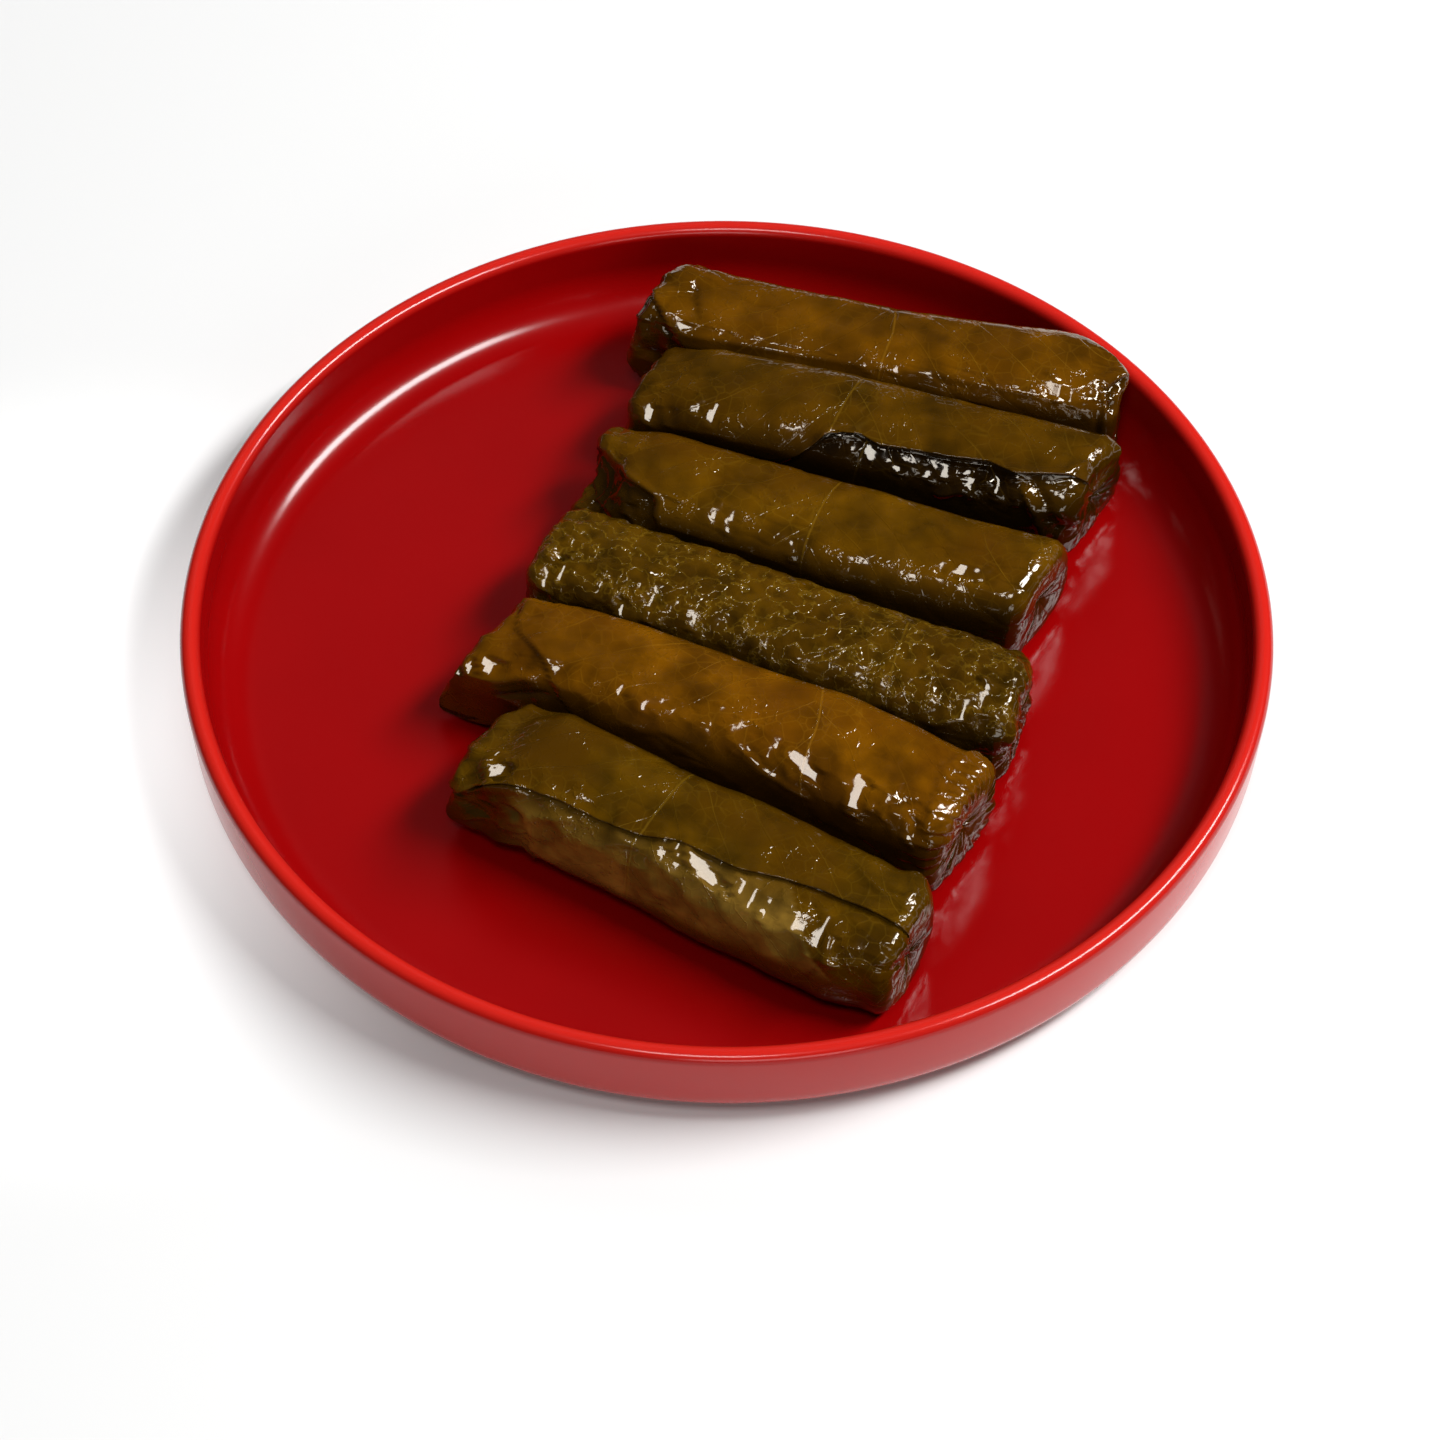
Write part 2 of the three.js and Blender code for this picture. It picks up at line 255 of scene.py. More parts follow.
bpy.ops.object.select_all(action="DESELECT")
bpy.ops.mesh.primitive_circle_add(
    vertices=PLATE_SEGMENTS,
    radius=(FOOT_INNER_RADIUS - FOOT_CHAMFER) * MM,
    fill_type="NGON",
    location=(0, 0, RECESS * MM),
)
plate = bpy.context.object
plate.name = "glazed_plate"
bpy.ops.object.transform_apply()
bpy.ops.object.mode_set(mode="EDIT")
bpy.ops.mesh.select_mode(type="EDGE")
edge_rings(plate, FOOT_INNER_RADIUS - FOOT_CHAMFER, RECESS)
wall_line = [
    (FOOT_INNER_RADIUS, 0),
    (FOOT_OUTER_RADIUS, 0),
    (FOOT_OUTER_RADIUS + FOOT_CHAMFER, UNDERSIDE),
    (PLATE_RADIUS - OUTER_LEAN, UNDERSIDE),
    (PLATE_RADIUS, PLATE_HEIGHT),
    (PLATE_RADIUS - RIM_THICKNESS, PLATE_HEIGHT),
    (PLATE_RADIUS - RIM_THICKNESS - INNER_LEAN, FLOOR_TOP),
    (INNER_CORNER, FLOOR_TOP),
]
radius, height = FOOT_INNER_RADIUS - FOOT_CHAMFER, RECESS
for next_radius, next_height in wall_line:
    draw_wall(radius, next_radius, next_height - height)
    radius, height = next_radius, next_height
bpy.ops.mesh.edge_face_add()
for corner_radius, corner_height, rounding, steps in (
    (PLATE_RADIUS - OUTER_LEAN, UNDERSIDE, OUTER_CORNER, 10),
    (PLATE_RADIUS, PLATE_HEIGHT, RIM_ROUNDING, 8),
    (PLATE_RADIUS - RIM_THICKNESS, PLATE_HEIGHT, RIM_ROUNDING, 8),
    (PLATE_RADIUS - RIM_THICKNESS - INNER_LEAN, FLOOR_TOP, INNER_CORNER, 14),
    (FOOT_INNER_RADIUS, 0, 0.4, 3),
    (FOOT_OUTER_RADIUS, 0, 0.4, 3),
):
    edge_rings(plate, corner_radius, corner_height)
    bpy.ops.mesh.bevel(offset=rounding * MM, segments=steps, affect="EDGES")
bpy.ops.mesh.select_all(action="SELECT")
bpy.ops.mesh.normals_make_consistent(inside=False)
bpy.ops.object.mode_set(mode="OBJECT")
bpy.ops.object.shade_smooth_by_angle(angle=math.radians(35))
plate.data.materials.append(glaze_material())
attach(plate, "root")
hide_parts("plate")

# Grape leaf rolls
# Each roll is a cooked vine leaf wrapped round rice: the sides of the leaf are folded in at the
# ends, it is rolled up along its midrib, and its free margin lies as a thin lip on the front.
# They were simmered and oiled, so the leaf clings, crinkles and shines.
AROUND = 248
ALONG = 268
CAP_RINGS = 24
ROUNDED_RINGS = 1 / 3
LIP_COLUMNS = 3
CONTACT_GAP = 0.3
SECTION_POWER = 3
END_ROUNDING = 3.2
END_DIMPLE = 1.6
TUCK_REACH = 13
PLEAT_REACH = 7
BELLY = 0.1
LEAF_THICKNESS = 0.35
UNDERLAP = 0.16
BRANCH_SPACING = 9
FOLD_HEADINGS = (8, 67, 128)
# How dark the painted shade is over each kind of fold's lowered part.
FOLD_PAINTED_SHADES = {"edge": 0.4, "tuck": 0.65, "hollow": 1.15}
CORNER_CURVE = 5.2
FACET_AIM = (-22, -563, 901)
FACET_EDGE = 0.35
STATIONS = (0, 0.12, 0.35, 0.65, 0.88, 1)


def leaf_roll_blank():
    """A closed cylinder one unit long and round, cut into fine rings along and at both ends."""
    bpy.ops.object.select_all(action="DESELECT")
    bpy.ops.mesh.primitive_cylinder_add(
        vertices=AROUND, radius=1, depth=1, end_fill_type="NGON"
    )
    blank = bpy.context.object
    bpy.ops.object.mode_set(mode="EDIT")
    bpy.ops.mesh.select_mode(type="EDGE")
    mesh = bmesh.from_edit_mesh(blank.data)
    for edge in mesh.edges:
        edge.select = abs(edge.verts[0].co.z - edge.verts[1].co.z) > 0.5
    bmesh.update_edit_mesh(blank.data)
    bpy.ops.mesh.subdivide(number_cuts=ALONG - 2)
    bpy.ops.mesh.select_mode(type="FACE")
    mesh = bmesh.from_edit_mesh(blank.data)
    for face in mesh.faces:
        face.select = len(face.verts) == AROUND
    bmesh.update_edit_mesh(blank.data)
    for _ in range(CAP_RINGS - 1):
        bpy.ops.mesh.inset(thickness=1 / CAP_RINGS)
    bpy.ops.mesh.poke()
    bpy.ops.object.mode_set(mode="OBJECT")
    return blank


def scatter(cells, salt):
    """A repeatable random number from 0 to 1 for each cell of a grid in space."""
    mixed = cells[0] * 73856093 ^ cells[1] * 19349663 ^ cells[2] * 83492791
    mixed ^= salt * 40503011
    mixed = ((mixed ^ (mixed >> 13)) * 1274126177) & 0x7FFFFFFF
    return ((mixed ^ (mixed >> 15)) & 0xFFFF) / 0xFFFF


def swell(place, sizes, salt):
    """Smooth unevenness from -1 to 1 whose humps are about as wide as sizes."""
    scaled = place / np.reshape(np.broadcast_to(sizes, 3), (3, 1))
    cells = np.floor(scaled).astype(np.int64)
    share = scaled - cells
    share = share * share * (3 - 2 * share)
    total = np.zeros(place.shape[1])
    for corner in np.ndindex(2, 2, 2):
        corner = np.reshape(corner, (3, 1))
        weight = np.prod(np.where(corner == 1, share, 1 - share), axis=0)
        total += weight * scatter(cells + corner, salt)
    return 2 * total - 1


def crackle(place, sizes, salt):
    """Distance to the nearest border between uneven cells about as wide as sizes, in cells."""
    scaled = place / np.reshape(np.broadcast_to(sizes, 3), (3, 1))
    cells = np.floor(scaled).astype(np.int64)
    nearest = np.full(place.shape[1], 9.0)
    second = np.full(place.shape[1], 9.0)
    for step in np.ndindex(3, 3, 3):
        cell = cells + np.reshape(step, (3, 1)) - 1
        seeds = np.stack([scatter(cell, salt + 31 * axis) for axis in range(3)])
        distance = np.linalg.norm(scaled - cell - seeds, axis=0)
        second = np.minimum(second, np.maximum(nearest, distance))
        nearest = np.minimum(nearest, distance)
    return second - nearest


def creased(place, x, arc, size, salt):
    """Fine crossing folds about as far apart as size, from 0 to 1."""
    total = np.zeros(x.shape)
    for fold, heading in enumerate(FOLD_HEADINGS):
        run = x * math.cos(math.radians(heading)) + arc * math.sin(math.radians(heading))
        run = run / size + 0.6 * swell(place, 3 * size, salt + fold)
        total += np.abs(run % 2 - 1) / len(FOLD_HEADINGS)
    return total


def flat_faces(x, arc, size, salt):
    """Flat faces that bridge the rounding of the roll and meet in sharp folds."""
    cells = np.stack((x / size[0], arc / size[1], 0 * x))
    share = cells - np.floor(cells)
    cells = np.floor(cells).astype(np.int64)
    lowest = np.full(x.shape, 9.0)
    for step in np.ndindex(5, 5):
        step = np.array((*step, 2)) - 2
        cell = cells + step[:, None]
        draws = [scatter(cell, salt + 31 * draw) for draw in range(5)]
        away = (share[0] - step[0] - draws[0]) * size[0]
        away_arc = (share[1] - step[1] - draws[1]) * size[1]
        slope = np.where(away < 0, 0.06 + 0.2 * draws[2], 0.16 + 0.3 * draws[3])
        face = away_arc**2 / (2 * CORNER_CURVE) + slope * np.abs(away)
        lowest = np.minimum(lowest, face + 0.3 * (draws[4] - 0.5) * away_arc)
    return np.clip(lowest, -0.3, 1.2)


def ease(value, low, high):
    share = np.clip((value - low) / (high - low), 0, 1)
    return share * share * (3 - 2 * share)


def at_station(values, u):
    """A size given at the stations, eased from one station to the next."""
    sizes = np.asarray(values, float)
    stations = np.asarray(STATIONS)
    index = np.clip(np.searchsorted(stations, u, side="right") - 1, 0, len(sizes) - 2)
    share = ease(u, stations[index], stations[index + 1])
    return sizes[index] + (sizes[index + 1] - sizes[index]) * share


def leaf_material(name, beading, light, dark, brown, lower):
    """Cooked leaf, wet with oil: mottled olive and brown, paler veins, painted shade in creases and
    gaps.
    """
    material = bpy.data.materials.new(name)
    material.use_nodes = True
    nodes = material.node_tree.nodes
    links = material.node_tree.links
    shader = nodes["Principled BSDF"]
    place = nodes.new("ShaderNodeTexCoord")

    def noise(scale, detail):
        texture = nodes.new("ShaderNodeTexNoise")
        texture.inputs["Scale"].default_value = scale
        texture.inputs["Detail"].default_value = detail
        links.new(place.outputs["Object"], texture.inputs["Vector"])
        return texture.outputs["Fac"]

    def cells(scale, feature, output):
        texture = nodes.new("ShaderNodeTexVoronoi")
        texture.feature = feature
        texture.inputs["Scale"].default_value = scale
        links.new(place.outputs["Object"], texture.inputs["Vector"])
        return texture.outputs[output]

    def spread(source, low, high, bottom, top):
        span = nodes.new("ShaderNodeMapRange")
        span.inputs["From Min"].default_value = low
        span.inputs["From Max"].default_value = high
        span.inputs["To Min"].default_value = bottom
        span.inputs["To Max"].default_value = top
        links.new(source, span.inputs["Value"])
        return span.outputs["Result"]

    def combine(operation, first, second):
        step = nodes.new("ShaderNodeMath")
        step.operation = operation
        for socket, value in zip(step.inputs, (first, second)):
            if isinstance(value, (int, float)):
                socket.default_value = value
            else:
                links.new(value, socket)
        return step.outputs["Value"]

    def blend(factor, first, second):
        mix = nodes.new("ShaderNodeMix")
        mix.data_type = "RGBA"
        links.new(factor, mix.inputs["Factor"])
        for socket, colour in (("A", first), ("B", second)):
            if isinstance(colour, tuple):
                mix.inputs[socket].default_value = (*colour, 1)
            else:
                links.new(colour, mix.inputs[socket])
        return mix.outputs["Result"]

    def attribute(attribute_name):
        reader = nodes.new("ShaderNodeAttribute")
        reader.attribute_name = attribute_name
        return reader.outputs["Fac"]

    def line(attribute_name, half_width, soft):
        beside = combine("ABSOLUTE", attribute(attribute_name), 0)
        return spread(beside, half_width, half_width + soft, 1, 0)

    midrib = line("rib", 0.1, 0.2)
    branches = line("branch", 0.04, 0.16)
    net = spread(cells(330, "DISTANCE_TO_EDGE", "Distance"), 0, 0.06, 1, 0)
    broken = spread(noise(70, 2), 0.42, 0.62, 0, 1)
    patches = spread(noise(110, 2), 0.6 - 0.25 * beading, 0.75 - 0.25 * beading, 0.05, 1)
    pimples = combine("MULTIPLY", noise(800, 2), 0.18)
    wrinkle = combine("ABSOLUTE", combine("SUBTRACT", noise(300, 2), 0.5), 0)
    wrinkles = combine("MULTIPLY", spread(wrinkle, 0, 0.045, 1, 0), patches)
    beads = combine("MULTIPLY", wrinkles, spread(noise(1500, 1), 0.4, 0.55, 0.1, 1))

    vein_colour = tuple(1.4 * c + added for c, added in zip(light, (0.04, 0.032, 0.004)))
    puffs = spread(cells(230, "SMOOTH_F1", "Distance"), 0.15, 0.6, 0.35, 0)
    clouds = spread(noise(110, 6), 0.36, 0.64, 0, 0.75)
    deepest, palest = tuple(0.75 * c for c in dark), tuple(1.15 * c for c in light)
    mottled = blend(combine("ADD", puffs, clouds), deepest, palest)
    stained = blend(spread(noise(45, 4), 0.47, 0.68, 0, 0.9), mottled, brown)
    # The under layer's colour: painted shadow in roll 2's recess below its flap, and partly painted
    # light on roll 6's front face.
    lower_dark, lower_light = (tuple(share * c for c in lower) for share in (0.5, 1.2))
    lower_mottled = blend(spread(noise(150, 4), 0.36, 0.64, 0, 1), lower_dark, lower_light)
    layered = blend(attribute("lower"), stained, lower_mottled)
    netted = blend(combine("MULTIPLY", combine("MULTIPLY", net, broken), 0.2), layered, vein_colour)
    # The wrinkle ridges take the paler vein colour, most on the blistered roll: partly paler leaf on
    # the ridges, partly painted highlight.
    wrinkles_painted_pale = blend(combine("MULTIPLY", wrinkles, 0.65 * beading - 0.25), netted, vein_colour)
    branched = blend(
        combine("MULTIPLY", combine("MULTIPLY", branches, broken), 0.35), wrinkles_painted_pale, vein_colour
    )
    veined = blend(combine("MULTIPLY", midrib, 0.4), branched, vein_colour)
    # Painted shade: creases, grooves, hollows, pits, end faces, the gaps between rolls and the
    # tucked lip darken toward a deep tone of the dark colour.
    leaf_with_painted_shade = blend(
        spread(attribute("painted_shade"), 0, 1.3, 0, 0.85), veined, tuple(0.2 * c for c in dark)
    )
    links.new(leaf_with_painted_shade, shader.inputs["Base Color"])

    oiled = spread(attribute("painted_shade"), 0, 1.2, 1, 0.4)
    uneven = spread(noise(260, 3), 0.3, 0.7, 0.05, 0.15)
    links.new(combine("MULTIPLY", oiled, uneven), shader.inputs["Roughness"])
    raised = combine("ADD", combine("MULTIPLY", pimples, patches), beads)
    raised = combine("MULTIPLY", raised, 0.22 + 0.16 * beading)
    raised = combine("ADD", raised, combine("MULTIPLY", midrib, 0.15))
    raised = combine("ADD", raised, combine("MULTIPLY", branches, 0.15))
    raised = combine("ADD", raised, combine("MULTIPLY", net, 0.07))
    raised = combine("MULTIPLY", raised, spread(attribute("sleek"), 0, 1, 1, 0.1))
    raised = combine("MULTIPLY", raised, oiled)
    grain = nodes.new("ShaderNodeBump")
    grain.inputs["Strength"].default_value = 1
    grain.inputs["Distance"].default_value = 0.3 * MM
    links.new(raised, grain.inputs["Height"])
    links.new(grain.outputs["Normal"], shader.inputs["Normal"])
    shader.inputs["IOR"].default_value = 1.5
    shader.inputs["Specular Tint"].default_value = (1, 0.93, 0.82, 1)
    return material


def inside_of_plate(z):
    """How far out a roll may reach at each height before it meets the plate."""
    centre = PLATE_RADIUS - RIM_THICKNESS - INNER_LEAN - INNER_CORNER
    rise = np.maximum(FLOOR_TOP + INNER_CORNER + CONTACT_GAP - z, 0)
    reach = INNER_CORNER - CONTACT_GAP
    return centre + np.sqrt(np.maximum(reach**2 - rise**2, 0)) - CONTACT_GAP


def press(points, left, right, neighbour, side):
    """Presses a roll flat against the plane halfway to the roll beside it."""
    start = (np.array(left) + np.array(neighbour[0])) / 2
    end = (np.array(right) + np.array(neighbour[1])) / 2
    along = (end - start) / np.linalg.norm(end - start)
    normal = np.array((-along[1], along[0]))
    distance = (points[:, :2] - start) @ normal
    overlap = np.maximum(CONTACT_GAP / 2 - side * distance, 0)
    points[:, :2] += side * overlap[:, None] * normal


def beside_line(x, arc, corners, radius):
    """Signed distance from a bent line drawn on the unrolled skin, more than 0 on its left."""
    nearest = np.full(x.shape, 99.0)
    sides = np.ones(x.shape)
    corners = [(place, math.radians(degrees - 90) * radius) for place, degrees in corners]
    for (start_x, start_arc), (end_x, end_arc) in zip(corners, corners[1:]):
        run, climb = end_x - start_x, end_arc - start_arc
        share = ((x - start_x) * run + (arc - start_arc) * climb) / (run**2 + climb**2)
        share = np.clip(share, 0, 1)
        away_x, away_arc = x - start_x - share * run, arc - start_arc - share * climb
        distance = np.hypot(away_x, away_arc)
        closer = distance < nearest
        nearest = np.where(closer, distance, nearest)
        sides = np.where(closer, np.sign(run * away_arc - climb * away_x), sides)
    return nearest * sides


def press_facets(points, roll, run, arc, radius, below):
    """Presses small spots of the skin flat, each facing the same far point."""
    sleek = np.zeros(len(points))
    jagged = 1 + 0.3 * swell(np.stack((run, arc, 0 * run)), 1.1, 50)
    for height, width, facet_x, facet_degrees in roll["facets"]:
        away = run - facet_x
        away_arc = arc - math.radians(facet_degrees - 90) * radius - 0.3 * away
        distance = (away / (width + FACET_EDGE)) ** 4 + (away_arc / (height + FACET_EDGE)) ** 4
        near = 1 - ease(distance**0.25 * jagged, 0.95, 1.3)
        near *= (below > 0) == (facet_degrees > np.interp(facet_x, *zip(*roll["margin"])))
        centre = near @ points / np.sum(near)
        facing = np.array(FACET_AIM) - centre
        facing /= np.linalg.norm(facing)
        points += (near * ((centre - points) @ facing))[:, None] * facing
        sleek = np.maximum(sleek, near)
    return sleek


def wrap_leaf(roll, index, blank_points):
    """Lays the blank's points out as the skin of one roll, in millimetres."""
    left, right = np.array(roll["left"]), np.array(roll["right"])
    length = np.linalg.norm(right - left)
    along = (right - left) / length
    salt = 110 * index

    column = np.round(np.arctan2(blank_points[:, 1], blank_points[:, 0]) / math.tau * AROUND)
    column = column.astype(np.int64) % AROUND
    u = np.clip(blank_points[:, 2] + 0.5, 0, 1)
    inward = np.clip(1 - np.hypot(blank_points[:, 0], blank_points[:, 1]), 0, 1)
    on_side = inward < 1e-4
    inward[on_side] = 0
    end = np.where(on_side, 0, np.where(u < 0.5, -1, 1))
    side = (u > 0.5).astype(int)

    half_width = at_station(roll["widths"], u) / 2
    half_height = at_station(roll["heights"], u) / 2
    x = END_ROUNDING + u * (length - 2 * END_ROUNDING)
    radius = (half_width + half_height) / 2
    corner = np.minimum(inward / ROUNDED_RINGS, 1) * (math.pi / 2)
    closing = 1 - np.maximum(inward - ROUNDED_RINGS, 0) / (1 - ROUNDED_RINGS)
    from_rim = END_ROUNDING * corner + (radius - END_ROUNDING) * (1 - closing)

    waves = np.stack((x, 0 * x, 0 * x))
    margin = np.radians(np.interp(x, *zip(*roll["margin"])))
    margin += np.radians(roll["waver"]) * swell(waves, 9, salt + 1)
    last = AROUND - 1 - LIP_COLUMNS
    wrap = np.clip(column / last, 0, 1)
    turn = margin - wrap * (math.tau - 0.02)
    turn += 0.25 * (np.sin(turn + math.pi / 3) - np.sin(margin + math.pi / 3))
    around = (margin - turn) * radius
    step = at_station(roll["step"], u) * (1 + 0.3 * swell(waves, 6, salt + 2))
    growth = step * (0.5 - wrap)
    growth += 0.3 * np.exp(-((around / 0.7) ** 2))
    in_lip = column > last
    growth = np.where(in_lip, step / 2 - LEAF_THICKNESS, growth)
    tucked = np.where(in_lip, (AROUND - 1 - column) / LIP_COLUMNS * UNDERLAP, 0)
    turn = np.where(in_lip, margin - tucked, turn)

    cosine, sine = np.cos(turn), np.sin(turn)
    reach = (np.abs(cosine) ** SECTION_POWER + np.abs(sine) ** SECTION_POWER) ** (
        -1 / SECTION_POWER
    )
    across, upward = reach * cosine, reach * sine
    shrink = (1 - END_ROUNDING / half_width * (1 - np.cos(corner))) * closing
    place = np.stack(
        (
            x + end * END_ROUNDING * np.sin(corner),
            half_width * across * shrink,
            half_height * upward * shrink,
        )
    )

    from_end = np.minimum(u, 1 - u) * (length - 2 * END_ROUNDING)
    folded = 1 - ease(from_end, 0, TUCK_REACH)
    degrees = (np.degrees(turn) + 90) % 360 - 90
    arc = np.radians(degrees - 90) * radius
    front_edge = np.exp(-(((degrees - 130) / 24) ** 4))

    from_top = (turn - math.pi / 2) * radius
    midrib_x, midrib_lean = roll["midrib"]
    waves = np.stack((from_top, 0 * x, 0 * x))
    rib = x - midrib_x - midrib_lean * from_top - 0.6 * swell(waves, 9, salt + 15)
    branch = from_top - np.abs(rib) + 0.004 * rib**2 + 2.6 * swell(place, 12, salt + 16)
    branch = branch / BRANCH_SPACING + 0.3 * np.sign(rib)
    branch = np.sin(math.pi * branch) * BRANCH_SPACING / math.pi
    branch = np.where(np.abs(rib) < 0.5, 1, branch)

    warp = np.stack([swell(place, 4, salt + 3 + axis) for axis in range(3)])
    relief = 0.45 * swell(place, (17, 8, 8), salt + 6) + 0.18 * swell(place, 6, salt + 7)
    run = x + end * from_rim
    faces = flat_faces(run + 0.4 * warp[0], arc + 0.4 * warp[1], roll["faces"], salt + 200) - 0.3
    facets = crackle(place + 1.2 * warp, (7, 5, 5), salt + 8)
    crumple = np.array(roll["crumple"])[side] * folded
    front_face = 0.35 * ease(degrees, 105, 140) * (1 - ease(degrees, 175, 205))
    gripped = np.maximum(roll["pinch"] * np.maximum(front_edge, front_face), crumple)
    relief += gripped * faces + 0.3 * crumple * np.minimum(facets, 0.6)
    borders = crackle(place + warp, 8, salt + 9)
    quiet = ease(swell(place, 11, salt + 10), -0.2, 0.5)
    relief -= 0.18 * np.exp(-borders / 0.05) * quiet
    relief -= 0.14 * np.exp(-np.abs(branch) / 0.6) + 0.12 * np.exp(-np.abs(rib) / 0.8)
    pit_shade = 0 * relief
    if roll["blister"]:
        wrinkles = creased(place, run, arc, 2.3, salt + 13)
        grain = 1 - np.abs(swell(place, (0.9, 1.1, 1.1), salt + 14))
        relief += roll["blister"] * (1.7 * wrinkles + 0.3 * grain**2)
        # Painted shade in the valleys between the blister's wrinkles.
        pit_shade = 1 - ease(wrinkles, 0.2, 0.45)

    count, depth, twist = np.array(roll["pleats"])[side].T
    pleat = count * (turn + 0.3 * np.sin(turn + index) + 0.12 * np.sin(3 * turn + 2 * index))
    pleat = ((pleat + twist * from_rim) / math.tau) % 1
    pleat = np.where(pleat < 0.8, pleat / 0.8, (1 - pleat) / 0.2)
    gathered = 1 - ease(from_end, 0, np.minimum(PLEAT_REACH, 100 / count))
    gathered *= ease(closing, 0.65, 0.95)
    relief += depth * (pleat - 0.6) * gathered
    layers = np.abs(np.sin(math.pi * (from_rim / 1.6 + turn / math.tau)))
    relief += 0.2 * (layers - 0.5) * ease(from_rim, 0, 1) * np.exp(-from_rim / 6)

    # Painted shade in the fine folds near the ends, along the cell borders, in the blister's valleys
    # and on the end faces, darkest between the folded layers.
    painted_shade = 0.5 * np.exp(-facets / 0.05) * folded + 0.3 * np.exp(-borders / 0.04) * quiet
    ends = ease(from_rim, 2.5, 4.5)
    painted_shade = np.maximum(np.maximum(painted_shade, 0.7 * pit_shade), (0.4 + 0.6 * (1 - layers) ** 2) * ends)
    for kind, height, width, corners in roll["folds"]:
        beside = beside_line(run, arc, corners, radius)
        if kind == "ridge":
            relief += height * np.exp(-((beside / width) ** 2))
        elif kind == "beads":
            strung = ease(swell(place, 0.8, salt + 41), -0.2, 0.5)
            relief += height * np.exp(-((beside / width) ** 2)) * strung
        elif kind == "groove":
            groove = np.exp(-np.abs(beside) / width)
            relief -= height * groove
            # Painted shade along the groove.
            painted_shade = np.maximum(painted_shade, 0.8 * groove)
        else:
            lowered = ease(beside, 0, 0.4) * (1 - ease(beside, width, 2 * width))
            relief -= height * lowered
            # Painted shade along the fold line and over the lowered part beside it.
            painted_shade = np.maximum(painted_shade, 0.8 * np.exp(-np.abs(beside - 0.2) / 0.3))
            painted_shade = np.maximum(painted_shade, FOLD_PAINTED_SHADES[kind] * lowered)
            if kind != "edge":
                relief += (1.4 - gripped) * faces * lowered

    hidden = 9 * (inward > 0.15)
    lower_start, lower_end = roll["lower_span"]
    past_end = run - lower_end - 0.19 * (degrees - 125)
    lower = ease(wrap, 0.72, 0.78) * (inward < 0.3) * (1 - ease(past_end, 0, 0.8))
    below = degrees - np.degrees(margin)
    # Just below the margin the under layer gives way to the darker leaf colour over the shaded
    # degrees: painted shade under the lip.
    lower *= ease(run, lower_start, lower_start + 7) * (0.25 + 0.75 * ease(below, 0, roll["shaded"]))

    bulge = (
        END_ROUNDING * np.sin(corner)
        - END_DIMPLE * (1 - closing) ** 2
        + relief * np.sin(corner)
    )
    growth = growth + relief * np.cos(corner)
    y = (half_width + growth) * across * shrink * (1 + BELLY * (1 - upward) / 2)
    skew = roll["skew"][0] * (1 - u) ** 3 + roll["skew"][1] * u**3
    x = x + end * bulge + skew * y
    bowed = y + roll["bow"] * 4 * u * (1 - u)
    z = FLOOR_TOP + CONTACT_GAP + half_height + (half_height + growth) * upward * shrink
    points = np.stack(
        (
            left[0] + along[0] * x - along[1] * bowed,
            left[1] + along[1] * x + along[0] * bowed,
            z,
        ),
        axis=1,
    )
    for anchor, toward, reach in roll["pulls"]:
        distance = np.linalg.norm(points - np.array(anchor), axis=1)
        share = (1 - ease(distance, 0, reach)) ** 2
        points += share[:, None] * np.array(toward)
    below = np.where(in_lip, 99, below)
    sleek = press_facets(points, roll, run, arc, radius, below)
    # Painted shade on the faces that look into the gaps between rolls, fainter toward the left ends,
    # and on the tucked lip.
    gap_shade = np.maximum(
        ease(degrees, 124, 158) * (index < len(ROLLS)),
        (1 - ease(degrees, 15, 55)) * (index > 1),
    )
    gap_shade *= 0.35 + 0.65 * ease(run, 2, 12)
    painted_shade = np.maximum(np.maximum(painted_shade, 1.3 * gap_shade), 1 * (in_lip & (tucked > 0)))
    painted_shade = np.clip(painted_shade, 0, 1.3)
    fields = {"rib": rib + hidden, "branch": branch + hidden, "lower": lower}
    return points, {**fields, "painted_shade": painted_shade, "sleek": sleek}


